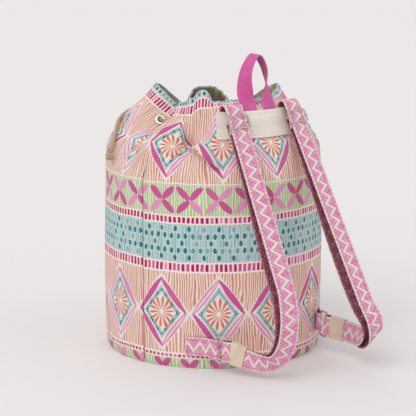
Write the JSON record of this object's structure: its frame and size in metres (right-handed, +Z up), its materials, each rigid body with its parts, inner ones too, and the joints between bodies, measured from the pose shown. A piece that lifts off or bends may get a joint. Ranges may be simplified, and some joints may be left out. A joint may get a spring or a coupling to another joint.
{
  "type": "backpack",
  "caption": "Round drawstring bucket backpack of printed canvas with a gathered mouth, top handle, and webbing straps with sliders and rings.",
  "frame": {"origin": "centre of the underside of the round base", "axes": "+Z up through the mouth; -Y is the side with the shoulder straps; +X is to the right of someone who faces that side"},
  "size_m": [0.3071, 0.4362, 0.4174],
  "materials": {
    "printed_canvas": "matte",
    "base_canvas": "matte",
    "lining_cloth": "matte",
    "cream_canvas": "matte",
    "handle_webbing": "matte",
    "strap_webbing": "matte",
    "cord": "matte",
    "steel": "satin"
  },
  "bodies": {
    "bag": {"back_panel": "printed_canvas", "front_panel": "printed_canvas", "base_panel": "base_canvas", "base_lining": "lining_cloth", "lining": "lining_cloth", "yoke_patch": "cream_canvas", "top_handle": "handle_webbing", "drawstring": "cord", "drawstring_end_left": "cord", "drawstring_end_right": "cord", "drawstring_knot_left": "cord", "drawstring_knot_right": "cord", "eyelet_1": "steel", "eyelet_2": "steel", "eyelet_3": "steel", "eyelet_4": "steel", "eyelet_5": "steel", "eyelet_6": "steel", "shoulder_strap_left": "strap_webbing", "strap_return_left": "strap_webbing", "strap_patch_left": "cream_canvas", "tab_left": "strap_webbing", "shoulder_strap_right": "strap_webbing", "strap_return_right": "strap_webbing", "strap_patch_right": "cream_canvas", "tab_right": "strap_webbing"},
    "slider_left": {"slider_left": "steel"},
    "slider_right": {"slider_right": "steel"},
    "ring_left": {"ring_left": "steel"},
    "ring_right": {"ring_right": "steel"}
  },
  "joints": [
    {"name": "slider_left_slide", "type": "slide", "parent": "bag", "child": "slider_left", "axis": [0.0127, -0.4688, -0.8832], "range_m": [0, 0.21], "deforming": ["strap_return_left"]},
    {"name": "slider_right_slide", "type": "slide", "parent": "bag", "child": "slider_right", "axis": [0.0883, -0.4806, -0.8725], "range_m": [0, 0.24], "deforming": ["strap_return_right"]},
    {"name": "ring_left_swing", "type": "hinge", "parent": "bag", "child": "ring_left", "pos_m": [-0.08576, -0.13963, 0.03167], "axis": [0, -0.0499, 0.9988], "range_deg": [-7, 7]},
    {"name": "ring_right_swing", "type": "hinge", "parent": "bag", "child": "ring_right", "pos_m": [0.08929, -0.13407, 0.04175], "axis": [0, -0.0499, 0.9988], "range_deg": [-7, 7]}
  ]
}
